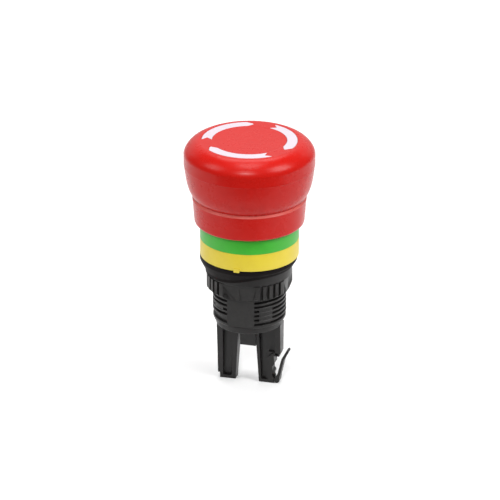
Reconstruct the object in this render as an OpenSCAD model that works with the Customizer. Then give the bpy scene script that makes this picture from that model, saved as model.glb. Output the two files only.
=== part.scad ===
// Emergency stop push button for a 22 mm panel hole, with a twist to release mushroom head.
// Millimetres. The Z axis is the button's own axis and z = 0 is the seat on the panel's front.
// -Y is the side of the marking lug, +X is the side of the snap arm.

/* [Mushroom head] */
// Widest diameter of the head
head_d = 39; // [36:0.5:42]
// Height of the head from the skirt's lower edge to its top
head_h = 25.6; // [25:0.1:26]
// Lower edge of the skirt above the panel seat, head released
skirt_z = 13.4; // [13.2:0.1:13.9]
// Diameter of the skirt at its lower edge
skirt_d = 32.7; // [32.4:0.1:33]
// Inner diameter of the skirt
skirt_bore_d = 30.3; // [30.1:0.1:30.6]
// Travel of the head when it is pressed
press_travel = 5.5; // [3:0.1:5.5]

/* [Direction arrows] */
// Outer diameter of the ring of arrows
arrow_outer_d = 28.4; // [24:0.2:28.4]
// Inner diameter of the ring of arrows
arrow_inner_d = 22.2; // [18:0.2:23]
// Angle from an arrow's tail to its tip
arrow_sweep = 95; // [80:1:105]
// Depth of the inlay
arrow_depth = 0.4; // [0.2:0.1:0.8]

/* [Collar and rings] */
// Outer diameter of the collar and the indicator ring
collar_d = 29.5; // [29:0.1:29.5]
// Height of the panel gasket
gasket_h = 3; // [2.5:0.1:3.5]
// Height of the collar
collar_h = 5.4; // [5:0.1:5.8]
// Diameter of the gasket's narrow end
gasket_low_d = 26.4; // [26:0.1:27]

/* [Threaded barrel] */
// Major diameter of the thread
thread_d = 22; // [21.8:0.1:22]
// Pitch of the thread
thread_pitch = 1.4; // [1.25:0.05:1.5]
// Lower end of the barrel below the panel seat
barrel_end = 17.4; // [17:0.1:18]
// Distance between the two flats on the thread
flat_across = 20.3; // [20.2:0.1:20.6]
// Bore of the barrel
barrel_bore_d = 17.6; // [17.4:0.1:17.6]

/* [Ring nut] */
// Diameter over the nut's ribs
nut_d = 25.9; // [25.4:0.1:26.2]
// Distance across the nut's flats
nut_across = 23.8; // [23.4:0.1:24.2]
// Height of the nut
nut_h = 5; // [4:0.1:6]
// Grooves in each ribbed corner
nut_grooves = 4; // [2:1:5]
// Thickness of the keyed washer above the nut
washer_h = 2.9; // [2:0.1:3.5]
// Diameter of the keyed washer
washer_d = 25.5; // [25:0.1:25.9]

/* [Contact fork] */
// Width of the fork over both legs
fork_w = 19.8; // [19:0.1:20]
// Depth of the legs at the flange
leg_deep_top = 4.3; // [4:0.1:5]
// Depth of the legs at their tips
leg_deep_tip = 2.8; // [2.6:0.1:3.4]
// Length of the legs under the flange
leg_l = 19.3; // [19:0.1:20]
// Left leg's inner edge at its tip, measured from the axis
left_tip_x = 4; // [3.8:0.1:4.2]
// Right leg's inner edge at its tip, measured from the axis
right_tip_x = 3.3; // [3.1:0.1:3.5]
// Lean of the snap arm away from the leg
arm_lean = 13.5; // [13:0.5:15]

/* [Hidden] */

$fn = 96;
eps = 0.01;              // overlap that keeps unions and cuts clean
fit = 0.05;              // gap between two pieces of the same body
run = 0.08;              // radial running clearance of a shaft in its bore

// Heights along the axis
collar_z = gasket_h;
ring_z = collar_z + collar_h;
ring_top = 15;
rim_top = ring_top + 1.5;
head_top = skirt_z + head_h;
ceiling_z = head_top - 2.6;
ledge_z = head_top - 17.6;
band_low = head_top - 7.5;
band_top = head_top - 4.3;
nut_z = -fit - washer_h - fit;
flange_low = -barrel_end - 2;
tip_z = flange_low - leg_l;
hub_top = -13;
piston_low = -2;
piston_top = 3;
shoulder_top = 23.7;
boss_low = shoulder_top + 0.1;
core_disc_h = 2;
core_z = ceiling_z - 0.1 - core_disc_h;
step_z = 29.6;
clip_z = step_z + 0.5;
clip_h = 1;
stem_top = 32;
shaft_low = 4;
shaft_neck = 9.4;
screw_l = 4;

// Radii
head_r = head_d / 2;
skirt_r = skirt_d / 2;
ledge_r = skirt_r + 0.65;
shoulder_in = head_r - 4.8;
cavity_r = skirt_bore_d / 2;
collar_r = collar_d / 2;
thread_r = thread_d / 2;
thread_root_r = thread_r - 0.53 * thread_pitch;
bore_r = barrel_bore_d / 2;
rim_r = 13.2;
stem_r = 6.4;
stem_bore_r = 4.9;
piston_r = bore_r - run;
shaft_r = 2.8;
shaft_tip_r = 2.2;
hub_bore_r = 4.8;
tail_r = 4.6;
flange_r = 10.1;
key_r = 9.3;
key_w = 2.2;
clip_r = 5.75;
screw_r = 1.2;
screw_head_r = 2.4;

// Slot and pawl sizes
pawl_w = 3;
pawl_h = 2;
pawl_z = 6.5;
pawl_back = 4.05;
spring_x = 2.95;
pawl_slope = 0.2;        // sideways movement of a pawl for each unit of press
pawl_tip = 6.75;
pusher_w = 5;
pusher_deep = 3.8;
pusher_top = -5.05;
pusher_low = flange_low - 7.5;
pin_z = -7.5;
pin_r = 0.8;
arm_pivot = [8.75, tip_z + 0.95];
arm_root_r = 0.85;
leg_half = fork_w / 2;
leg_inner_top = pusher_w / 2 + 0.15;
channel_web = 1.05;
pocket_web = 0.4;
pocket_low = tip_z + 1;
channel_top = flange_low - 0.9;
seal_z = -15.2;

// Points on an elliptical arc, from angle a0 to a1
function arc(centre, rx, rz, a0, a1, n) =
    [for (i = [0:n]) let (a = a0 + (a1 - a0) * i / n) [centre[0] + rx * cos(a), centre[1] + rz * sin(a)]];

// Points on a cubic curve through four control points
function curve(p, n) =
    [for (i = [0:n]) let (t = i / n, s = 1 - t)
        p[0] * s * s * s + p[1] * 3 * t * s * s + p[2] * 3 * t * t * s + p[3] * t * t * t];

// A plain ring between two heights
module ring(outer_r, inner_r, z0, z1) {
    translate([0, 0, z0]) difference() {
        cylinder(r = outer_r, h = z1 - z0);
        translate([0, 0, -eps]) cylinder(r = inner_r, h = z1 - z0 + 2 * eps);
    }
}

// A block centred on X and Y, between two heights
module block(w, d, z0, z1) {
    translate([-w / 2, -d / 2, z0]) cube([w, d, z1 - z0]);
}

// An outline in X and Z, extruded along Y about y = 0
module slab(points, deep) {
    rotate([90, 0, 0]) linear_extrude(height = deep, center = true) polygon(points);
}

// An open coil of round wire that stands on z = 0
module coil(mean_r, wire_r, height, turns, steps, sides) {
    n = turns * steps;
    rise = height - 2 * wire_r;
    points = [for (i = [0:n], k = [0:sides - 1])
        let (a = 360 * i / steps, b = 360 * k / sides, r = mean_r + wire_r * cos(b))
        [r * cos(a), r * sin(a), wire_r + rise * i / n + wire_r * sin(b)]];
    walls = [for (i = [0:n - 1], k = [0:sides - 1])
        let (m = (k + 1) % sides)
        [i * sides + k, (i + 1) * sides + k, (i + 1) * sides + m, i * sides + m]];
    first = [for (k = [0:sides - 1]) k];
    last = [for (k = [sides - 1:-1:0]) n * sides + k];
    polyhedron(points, concat(walls, [first, last]), convexity = 10);
}

// ---- Head: the pieces that turn with it ----

// Outline of the mushroom cap's outside, from the skirt's lower edge to the centre of the top
function cap_outside() = concat(
    arc([skirt_r - 0.95, skirt_z + 0.95], 0.95, 0.95, -90, 0, 6),
    [[ledge_r - 0.15, ledge_z - 0.2], [ledge_r, ledge_z - 0.1], [ledge_r - 0.1, ledge_z]],
    curve([[ledge_r - 0.45, ledge_z + 0.1], [ledge_r + 1.3, ledge_z + 2.1],
           [head_r - 0.65, band_low - 5.2], [head_r - 0.08, band_low]], 12),
    [[head_r, band_low + 0.1]],
    shoulder(10)
);

// The shoulder, a squashed circle that is a little flatter than round
function shoulder(n) =
    let (wide = head_r - shoulder_in, rise = head_top - band_top, power = 1.18)
    [for (i = [0:n]) let (a = 90 * i / n)
        [shoulder_in + wide * pow(cos(a), power), band_top + rise * pow(sin(a), power)]];

module mushroom_cap() {
    color("crimson") difference() {
        rotate_extrude() polygon(concat(
            [[cavity_r, skirt_z]], cap_outside(), [[0, head_top], [0, ceiling_z], [16, ceiling_z],
            [17.2, ceiling_z - 1.2], [17.2, band_low - 1.8], [16.4, ledge_z + 4], [cavity_r, ledge_z - 0.2]]
        ));
        translate([0, 0, head_top - arrow_depth]) arrows(arrow_depth + eps, 0);
    }
}

// Three arrows that run clockwise, seen from above
module arrows(height, gap) {
    outer_r = arrow_outer_d / 2 - gap;
    inner_r = arrow_inner_d / 2 + gap;
    mid_r = (outer_r + inner_r) / 2;
    barb = 10;
    notch = 7.5;
    linear_extrude(height = height) for (i = [0:2]) {
        tail = 193 - 120 * i;
        tip = tail - arrow_sweep;
        polygon(concat(
            arc([0, 0], outer_r, outer_r, tail, tip + barb, 14),
            [[mid_r * cos(tip), mid_r * sin(tip)]],
            arc([0, 0], inner_r, inner_r, tip + barb, tail, 14),
            [[mid_r * cos(tail - notch), mid_r * sin(tail - notch)]]
        ));
    }
}

module arrow_inlays() {
    color("white") translate([0, 0, head_top - arrow_depth]) arrows(arrow_depth, 0.02);
}

// Disc, boss and ribs that join the cap to the stem
module cap_core() {
    disc_r = 14;
    boss_r = 9.6;
    rib_low = 28;
    rib_r = 13.6;
    rib_w = 1.2;
    clip_room_r = 8.2;
    color("dimgray") difference() {
        union() {
            translate([0, 0, core_z]) cylinder(r = disc_r, h = core_disc_h);
            translate([0, 0, boss_low]) cylinder(r = boss_r, h = core_z + eps - boss_low);
            for (a = [0:60:300]) rotate([0, 0, a])
                translate([boss_r - 1, -rib_w / 2, rib_low]) cube([rib_r - boss_r + 1, rib_w, core_z + eps - rib_low]);
        }
        translate([0, 0, boss_low - eps]) cylinder(r = stem_r + run, h = step_z - boss_low + 2 * eps);
        translate([0, 0, step_z]) cylinder(r = clip_room_r, h = core_z - step_z);
        translate([0, 0, core_z - eps]) cylinder(r = screw_r + fit, h = core_disc_h + 2 * eps);
        translate([0, 0, core_z + 0.7]) cylinder(r = screw_head_r + 0.1, h = core_disc_h);
    }
}

module core_screw() {
    head_z = core_z + 0.75;
    screw_head_h = 1.2;
    slot_w = 0.6;
    color("silver") difference() {
        union() {
            translate([0, 0, core_z - screw_l]) cylinder(r = screw_r, h = head_z - core_z + screw_l + eps);
            translate([0, 0, head_z]) cylinder(r = screw_head_r, h = screw_head_h);
        }
        block(slot_w, 3 * screw_head_r, head_z + screw_head_h / 2, head_z + 2 * screw_head_h);
    }
}

// Shaft on the head that turns inside the stem and frees the pawls
module release_shaft() {
    tip_w = 3.4;
    color("gray") difference() {
        union() {
            translate([0, 0, shaft_neck]) cylinder(r = shaft_r, h = core_z - shaft_neck);
            intersection() {
                translate([0, 0, shaft_low]) cylinder(r = shaft_tip_r, h = shaft_neck - shaft_low + eps);
                block(2 * shaft_tip_r, tip_w, shaft_low, shaft_neck + 1);
            }
        }
        translate([0, 0, core_z - screw_l - 0.2]) cylinder(r = screw_r + 0.02, h = screw_l + 0.2 + eps);
    }
}

module torsion_spring() {
    color("silver") translate([0, 0, 11]) coil(3.9, 0.35, 17, 9, 12, 6);
}

// ---- Plunger: the pieces that only slide ----

module plunger() {
    shoulder_r = 7.6;
    shoulder_h = 1.5;
    tail_l = 8.5;
    shaft_seat = shaft_low - 0.4;
    window_l = 5;
    color("slategray") difference() {
        union() {
            translate([0, 0, piston_low]) cylinder(r = piston_r, h = piston_top - piston_low);
            block(2 * key_r, key_w, piston_low, piston_top);
            translate([0, 0, piston_top - eps]) cylinder(r = stem_r, h = stem_top - piston_top + eps);
            translate([0, 0, shoulder_top - shoulder_h]) cylinder(r = shoulder_r, h = shoulder_h);
            translate([0, 0, piston_low - tail_l]) cylinder(r = tail_r, h = tail_l + eps);
        }
        // bore for the release shaft, wider above for the torsion spring
        translate([0, 0, shaft_seat]) cylinder(r = shaft_tip_r + run, h = shaft_neck - shaft_seat);
        translate([0, 0, shaft_neck - 0.2]) cylinder(r = stem_bore_r, h = stem_top);
        // groove for the clip
        ring(stem_r + 1, clip_r - fit, clip_z - fit, clip_z + clip_h + fit);
        // windows for the pawls and their springs
        for (side = [-1, 1]) translate([side * (spring_x - fit + window_l / 2), 0, 0])
            block(window_l, pawl_w + 2 * fit, pawl_z - fit, pawl_z + pawl_h + fit);
        // socket and pin hole for the pusher
        block(pusher_w + 2 * fit, pusher_deep + 2 * fit, piston_low - tail_l - 1, pusher_top + fit);
        pin_hole();
    }
}

// Cross hole in the plunger's tail and in the pusher
module pin_hole() {
    translate([0, 0, pin_z]) rotate([90, 0, 0]) cylinder(r = pin_r + 0.02, h = 3 * tail_r, center = true);
}

module friction_washer() {
    color("ivory") ring(8.1, stem_r + fit, step_z + fit, clip_z - fit);
}

// Open clip in the groove of the stem
module stem_clip() {
    mouth_w = 3;
    color("silver") difference() {
        ring(7.7, clip_r, clip_z, clip_z + clip_h);
        translate([clip_r, 0, 0]) block(clip_r, mouth_w, clip_z - eps, clip_z + clip_h + eps);
    }
}

module pusher() {
    color("darkslategray") difference() {
        block(pusher_w, pusher_deep, pusher_low, pusher_top);
        pin_hole();
    }
}

module pusher_pin() {
    color("silver") translate([0, 0, pin_z]) rotate([90, 0, 0])
        cylinder(r = pin_r, h = 2 * tail_r - 0.8, center = true);
}

module return_spring() {
    color("silver") translate([0, 0, hub_top + 0.02]) coil(6.3, 0.45, piston_low - hub_top - 0.04, 5, 18, 6);
}

// A pawl slides outwards in its window as the stem goes down inside the latch ring
module pawl(side) {
    color("goldenrod") slab([
        [side * pawl_back, pawl_z], [side * (pawl_tip + 0.35), pawl_z],
        [side * pawl_tip, pawl_z + pawl_h], [side * pawl_back, pawl_z + pawl_h]
    ], pawl_w);
}

module pawl_left() {
    pawl(-1);
}

module pawl_right() {
    pawl(1);
}

module pawl_springs() {
    color("silver") for (turn = [0, 180]) rotate([0, 0, turn])
        translate([spring_x, 0, pawl_z + pawl_h / 2]) rotate([0, 90, 0])
            coil(0.62, 0.14, pawl_back - spring_x - fit, 3, 12, 5);
}

// ---- Housing: the pieces that stay on the panel ----

// Lip seal around the stem
module stem_seal() {
    low = rim_top - 2;
    color("black") rotate_extrude() polygon([
        [stem_r + 0.06, low + 0.4], [stem_r + 0.8, low], [bore_r - fit, low], [bore_r - fit, rim_top],
        [bore_r - 0.7, rim_top], [bore_r - 1, low + 1], [stem_r + 0.6, low + 1.1], [stem_r + 0.06, rim_top - 0.2]
    ]);
}

module guide_bush() {
    color("ivory") ring(bore_r - fit, stem_r + run, 10.4, rim_top - 2.1);
}

// Ring whose bore widens downwards, on which the pawls run
module latch_ring() {
    low = 3.3;
    high = 10.3;
    pawl_gap = 0.2;
    top_r = pawl_tip + pawl_gap - pawl_slope * (high - pawl_z - pawl_h);
    low_r = top_r + pawl_slope * (high - low);
    color("goldenrod") rotate_extrude() polygon([
        [low_r, low], [bore_r - fit, low], [bore_r - fit, high], [top_r, high]
    ]);
}

module indicator_ring() {
    color("limegreen") ring(collar_r, thread_r + fit, ring_z, ring_top);
}

// Collar with the small lug that marks the front
module collar() {
    lug_w = 1.8;
    lug_h = 0.6;
    color("gold") union() {
        ring(collar_r, thread_r + fit, collar_z, ring_z);
        intersection() {
            ring(collar_r, collar_r - 0.7, collar_z - lug_h, collar_z + 1);
            translate([0, -collar_r, 0]) block(lug_w, 4, collar_z - lug_h, collar_z + 1);
        }
    }
}

// Tapered rubber gasket, notched for the collar's lug
module panel_gasket() {
    color("black") difference() {
        rotate_extrude() polygon([
            [thread_r + fit, 0], [gasket_low_d / 2, 0], [collar_r + 0.05, gasket_h - 1.4],
            [collar_r + 0.05, gasket_h], [thread_r + fit, gasket_h]
        ]);
        translate([0, -collar_r, 0]) block(2, 1.6, gasket_h - 0.75, gasket_h + 1);
    }
}

// Outline of the barrel's outside, with one groove for each pitch of the thread
function barrel_outside() =
    let (low = -barrel_end, count = floor((barrel_end - 1.9) / thread_pitch))
    concat(
        [[thread_r - 0.5, low], [thread_r - 0.1, low + 0.4]],
        [for (i = [0:count - 1]) let (z = low + 0.65 + i * thread_pitch) each [
            [thread_r, z + 0.1 * thread_pitch], [thread_root_r, z + 0.4 * thread_pitch],
            [thread_root_r, z + 0.56 * thread_pitch], [thread_r, z + 0.86 * thread_pitch]
        ]],
        [[thread_r, 0]]
    );

// Smooth pad that fills the thread's grooves between two heights, drawn on both sides
module thread_pad(from_angle, z0, z1) {
    pad_angle = 23;
    for (side = [0, 180]) rotate([0, 0, side + from_angle]) rotate_extrude(angle = pad_angle)
        translate([thread_root_r - 0.4, z0]) square([thread_r - fit - thread_root_r + 0.4, z1 - z0]);
}

module barrel() {
    flat_cut = 10;
    flat_w = 8.4;
    color("#3a3838") difference() {
        union() {
            rotate_extrude() polygon(concat(
                [[bore_r, -barrel_end]], barrel_outside(),
                [[thread_r, ring_top], [rim_r, ring_top], [rim_r, rim_top], [bore_r, rim_top]]
            ));
            // the thread stops at the edges of the flats, and at the pads
            for (side = [-1, 1]) translate([0, side * (flat_across / 2 - 0.5), 0])
                block(flat_w, 1, 1 - barrel_end, -eps);
            thread_pad(-59.5, -15.4, -11);
            thread_pad(-143.5, -12.75, -11.05);
        }
        // the two flats on the thread
        for (side = [-1, 1]) translate([0, side * (flat_across + flat_cut) / 2, 0])
            block(3 * thread_r, flat_cut, -barrel_end - 1, 0);
        // keyways for the plunger
        block(2 * (key_r + 0.15), key_w + 0.2, -barrel_end - 1, piston_top + 0.3);
    }
}

// Keyed washer that slides on the flats and doesn't turn
module lock_washer() {
    color("#3a3838") difference() {
        translate([0, 0, -fit - washer_h]) cylinder(d = washer_d, h = washer_h);
        intersection() {
            translate([0, 0, -fit - washer_h - 1]) cylinder(r = thread_r + 0.1, h = washer_h + 2);
            block(2 * washer_d, flat_across + 0.2, -washer_h - 1, 1);
        }
    }
}

// Round nut with four flats and four ribbed corners
module ring_nut() {
    groove_w = 0.9;
    groove_deep = 0.75;
    spread = 9.3;
    first = 45 - spread * (nut_grooves - 1) / 2;
    color("#3a3838") difference() {
        intersection() {
            translate([0, 0, nut_z - nut_h]) cylinder(d = nut_d, h = nut_h);
            block(nut_across, nut_across, nut_z - nut_h, nut_z);
        }
        translate([0, 0, nut_z - nut_h - 1]) cylinder(r = thread_r + run, h = nut_h + 2);
        for (corner = [0:90:270], i = [0:nut_grooves - 1]) rotate([0, 0, corner + first + spread * i])
            translate([nut_d / 2 - groove_deep, -groove_w / 2, nut_z - nut_h - 1]) cube([2, groove_w, nut_h + 2]);
    }
}

// ---- Fork that carries the contact block ----

module fork() {
    deck = -barrel_end - fit;
    color("#3f3d3c") difference() {
        union() {
            translate([0, 0, deck]) cylinder(r = bore_r - fit, h = hub_top - deck);
            translate([0, 0, flange_low]) cylinder(r = flange_r, h = deck - flange_low);
            intersection() {
                union() {
                    left_leg();
                    right_leg();
                }
                // front and back faces, which lean in towards the tips
                rotate([90, 0, 90]) linear_extrude(height = 2 * fork_w, center = true) polygon([
                    [-leg_deep_top / 2, flange_low + 1], [leg_deep_top / 2, flange_low + 1],
                    [leg_deep_tip / 2, tip_z], [-leg_deep_tip / 2, tip_z]
                ]);
            }
        }
        // way for the plunger's tail and the pusher
        translate([0, 0, 0.9 - barrel_end]) cylinder(r = hub_bore_r, h = barrel_end);
        block(pusher_w + 0.5, pusher_deep + 0.4, flange_low - eps, hub_top);
        // groove for the seal
        ring(bore_r + 1, bore_r - 0.95, seal_z - 0.5, seal_z + 0.5);
    }
}

// A recess with the given outline, as far as web from the middle of the leg, on both faces
module recess(web, points) {
    for (side = [0, 1]) mirror([0, side, 0]) rotate([90, 0, 0])
        translate([0, 0, web]) linear_extrude(height = leg_deep_top) polygon(points);
}

module left_leg() {
    strip_low = tip_z + 1.3;
    strip_x = 1.25 - leg_half;
    channel_x = -7.8;
    foot_top = pocket_low + 2.5;
    difference() {
        slab([
            [-leg_half, flange_low + eps], [0.4 - leg_half, strip_low], [strip_x, strip_low],
            [strip_x, tip_z], [-left_tip_x, tip_z], [-leg_inner_top - 0.1, flange_low + eps]
        ], 2 * leg_deep_top);
        // the outer strip stands back from the face
        recess(0.6, [
            [-leg_half - 1, tip_z - 1], [strip_x, tip_z - 1], [strip_x, flange_low], [-leg_half - 1, flange_low]
        ]);
        // channel, its deeper slot and its deeper foot
        recess(channel_web, [
            [channel_x, pocket_low], [-5.2, pocket_low], [-4.6, channel_top], [channel_x, channel_top]
        ]);
        recess(pocket_web, [
            [channel_x, pocket_low], [-5.2, pocket_low], [-5.2, foot_top], [-6.9, foot_top],
            [-6.6, channel_top], [channel_x, channel_top]
        ]);
    }
}

module right_leg() {
    foot_x = 8;
    waist_x = 7.5;
    block_x = 9.7;
    rim_x = 8.4;
    shelf_x = 6.1;
    foot_top = pocket_low + 2.5;
    difference() {
        slab([
            [leg_inner_top, flange_low + eps], [leg_inner_top, pusher_low], [right_tip_x, tip_z],
            [foot_x, tip_z], [foot_x, tip_z + 3.7], [waist_x, tip_z + 4.3], [waist_x, tip_z + 5.5],
            [foot_x + 0.2, tip_z + 6.6], [foot_x, tip_z + 9.1], [block_x, tip_z + 9.1],
            [leg_half, tip_z + 10.3], [leg_half, flange_low + eps]
        ], 2 * leg_deep_top);
        // channel beside the inner rim
        recess(channel_web, [
            [3.4, channel_top], [4.05, pocket_low], [shelf_x, pocket_low],
            [shelf_x, tip_z + 8.6], [rim_x, tip_z + 10.4], [rim_x, channel_top]
        ]);
        // its deeper slot and deeper foot
        recess(pocket_web, [
            [3.4, channel_top], [4.05, pocket_low], [5.45, pocket_low], [5.45, foot_top],
            [4.7, foot_top], [4.35, channel_top]
        ]);
        // four-cornered pocket beside the outer rim, and the hollow in the foot
        recess(pocket_web, [[6.2, tip_z + 10.2], [8.1, tip_z + 10.2], [8.1, tip_z + 12.7], [7.1, tip_z + 11.9]]);
        recess(pocket_web, [[waist_x, tip_z + 1.9], [foot_x + 1, tip_z + 1.9], [foot_x + 1, tip_z + 3.2], [waist_x, tip_z + 3.2]]);
        // seat of the arm's root
        translate([arm_pivot[0], 0, arm_pivot[1]]) rotate([90, 0, 0])
            cylinder(r = arm_root_r + 0.1, h = 3 * leg_deep_top, center = true);
    }
}

module hub_seal() {
    color("black") rotate_extrude() translate([bore_r - 0.5, seal_z]) circle(r = 0.42, $fn = 24);
}

// Springy arm that snaps into the contact block. Its rounded tip is bent outwards.
module latch_arm() {
    bend_z = 7.4;
    tip_x = 0.94;
    arm_tip_z = 10.15;
    tip_r = 0.42;
    color("#4a4846") translate([arm_pivot[0], 0, arm_pivot[1]]) rotate([0, arm_lean, 0])
    union() {
        rotate([90, 0, 0]) cylinder(r = arm_root_r, h = leg_deep_tip, center = true);
        slab([
            [0.1 - arm_root_r, 0], [arm_root_r, 0], [0.68, 1.4], [0.62, bend_z], [tip_x + tip_r, arm_tip_z],
            [tip_x - tip_r, arm_tip_z], [-0.2, bend_z], [-0.25, 2]
        ], leg_deep_tip);
        translate([tip_x, 0, arm_tip_z]) rotate([90, 0, 0])
            cylinder(r = tip_r, h = leg_deep_tip, center = true, $fn = 32);
    }
}

mushroom_cap();
arrow_inlays();
cap_core();
core_screw();
release_shaft();
torsion_spring();
plunger();
friction_washer();
stem_clip();
pusher();
pusher_pin();
return_spring();
pawl_left();
pawl_right();
pawl_springs();
stem_seal();
guide_bush();
latch_ring();
indicator_ring();
collar();
panel_gasket();
barrel();
lock_washer();
ring_nut();
fork();
hub_seal();
latch_arm();
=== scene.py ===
# %% [markdown]
# # An emergency stop button, piece by piece
# This lesson dresses a ready-made engineering model of a panel-mounted stop button. The model
# fixes every size and every joint. Each visible piece gets a finer mesh here, with rounded
# edges and a real screw thread, and each finish is built from shader nodes.
# The model is loaded first, because every piece below takes its place from it.

# %% Load the model
import math

import bmesh
import bpy
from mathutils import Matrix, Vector


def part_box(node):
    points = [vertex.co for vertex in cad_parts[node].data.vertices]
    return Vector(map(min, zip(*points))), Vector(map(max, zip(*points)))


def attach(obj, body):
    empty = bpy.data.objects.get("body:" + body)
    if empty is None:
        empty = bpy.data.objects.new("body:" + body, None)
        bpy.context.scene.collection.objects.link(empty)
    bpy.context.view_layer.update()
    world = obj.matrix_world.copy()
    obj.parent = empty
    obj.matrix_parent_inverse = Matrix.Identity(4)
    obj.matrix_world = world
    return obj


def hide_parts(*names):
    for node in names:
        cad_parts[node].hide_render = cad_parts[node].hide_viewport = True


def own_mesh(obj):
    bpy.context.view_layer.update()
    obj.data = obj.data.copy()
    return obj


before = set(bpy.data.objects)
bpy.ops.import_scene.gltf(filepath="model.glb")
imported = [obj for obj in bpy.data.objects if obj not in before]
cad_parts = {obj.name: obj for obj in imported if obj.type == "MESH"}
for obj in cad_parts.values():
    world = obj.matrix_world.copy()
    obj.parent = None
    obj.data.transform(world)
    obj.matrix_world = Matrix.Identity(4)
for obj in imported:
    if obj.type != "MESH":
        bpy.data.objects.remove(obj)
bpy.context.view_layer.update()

MM = 0.001


# %% [markdown]
# ## Sizes
# Meshes below are drawn in millimetres, because that is how a moulder thinks of them, and they
# are scaled to metres when they are made. The main heights and radii are read from the model,
# so that nothing has to be fitted by eye. Height 0 is the face of the panel.

# %% Heights and radii of the model's pieces
def reach(node):
    """Lowest height, highest height and largest radius of a model piece, in millimetres."""
    low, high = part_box(node)
    return low.z / MM, high.z / MM, high.y / MM


SKIRT_LOW, HEAD_TOP, HEAD_R = reach("mushroom_cap")
RING_LOW, RING_TOP, RING_R = reach("indicator_ring")
GASKET_TOP, GASKET_R = reach("panel_gasket")[1:]
WASHER_LOW, WASHER_TOP, WASHER_R = reach("lock_washer")
NUT_LOW, NUT_TOP, NUT_HALF = reach("ring_nut")
BARREL_LOW, RIM_TOP, RIM_R = reach("barrel")
TIP_Z, HUB_TOP, FLANGE_R = reach("fork")
PUSHER_LOW, PUSHER_TOP, PUSHER_HALF = reach("pusher")
LEG_HALF = -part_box("fork")[0].x / MM
print(f"head {2 * HEAD_R:.1f} mm wide, button {HEAD_TOP - TIP_Z:.1f} mm long")


# %% [markdown]
# ## Camera
# A long lens from above and a little to the right shows a product without bending its
# verticals. The camera is placed by azimuth and elevation around a point on the button's axis,
# which is easier to adjust than three coordinates. It uses no shift and no depth of field.

# %% Place the camera
CAMERA_AZIMUTH = math.radians(15)
CAMERA_ELEVATION = math.radians(23.75)
CAMERA_DISTANCE = 1200
LENS_LENGTH = 290
AIM_HEIGHT = 3.6
AIM_RIGHT = 0.15


def view_direction(azimuth, elevation):
    """Unit vector from the button towards a viewer."""
    flat = math.cos(elevation)
    return Vector((math.sin(azimuth) * flat, -math.cos(azimuth) * flat, math.sin(elevation)))


def look_at(thing, target):
    """Turns a camera or lamp so that it faces a point."""
    thing.rotation_euler = (target - thing.location).to_track_quat("-Z", "Y").to_euler()


camera = bpy.data.objects.new("camera", bpy.data.cameras.new("camera"))
bpy.context.scene.collection.objects.link(camera)
camera.data.lens = LENS_LENGTH
camera.data.clip_start = 0.01
aim = Vector((AIM_RIGHT * math.cos(CAMERA_AZIMUTH), AIM_RIGHT * math.sin(CAMERA_AZIMUTH), AIM_HEIGHT)) * MM
camera.location = aim + view_direction(CAMERA_AZIMUTH, CAMERA_ELEVATION) * CAMERA_DISTANCE * MM
look_at(camera, aim)
bpy.context.scene.camera = camera
print("camera at", [round(c, 4) for c in camera.location])


# %% [markdown]
# ## Floor and light
# The button stands on a sheet of white paper among soft lamps: one overhead, one in front, one
# on each side and a wide one behind that acts as a bright wall. A last one lights the paper
# behind the button. The sheet ends just below the frame, and the room in front of it is dim.
# That matters for glossy plastic: the sides of the button mirror whatever lies in front of it,
# and a dim room keeps the red deep, while the paper and the wall behind still draw pale edges.
# The plain "Standard" view keeps the signal colours as strong as they are on the real thing.

# %% Build the light
FLOOR_BACK, FLOOR_SIDE, FLOOR_FRONT = 3.0, 1.5, 0.097
ROOM_LIGHT = 0.14


def softbox(name, azimuth, elevation, distance, width, length, watts, target=(0, 0, 0)):
    """A soft rectangular lamp that faces a point. Its length lies away from the camera."""
    lamp = bpy.data.objects.new(name, bpy.data.lights.new(name, "AREA"))
    bpy.context.scene.collection.objects.link(lamp)
    lamp.data.shape = "RECTANGLE"
    lamp.data.size = width
    lamp.data.size_y = length
    lamp.data.energy = watts
    towards_lamp = view_direction(math.radians(azimuth), math.radians(elevation))
    lamp.location = Vector(target) + towards_lamp * distance
    look_at(lamp, Vector(target))
    return lamp


bpy.context.scene.view_settings.view_transform = "Standard"
world = bpy.data.worlds.new("dim_room")
world.use_nodes = True
walls = world.node_tree.nodes["Background"]
walls.inputs["Color"].default_value = (1, 1, 1, 1)
walls.inputs["Strength"].default_value = ROOM_LIGHT
bpy.context.scene.world = world

softbox("overhead_box", 10, 83, 0.75, 0.26, 0.42, 2.1)
softbox("front_box", 8, 38, 1.1, 0.3, 0.3, 5.8)
softbox("right_box", 80, 42, 0.9, 0.4, 0.4, 5.0)
softbox("left_box", -60, 40, 1.0, 0.4, 0.4, 2.4)
softbox("back_wall", 195, 24, 0.9, 2.1, 0.7, 3.3)
PAPER_SPOT = -0.35
paper_target = tuple(view_direction(CAMERA_AZIMUTH, 0) * PAPER_SPOT)
softbox("paper_box", 195, 80, 0.8, 0.5, 0.4, 2.9, paper_target)

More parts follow.
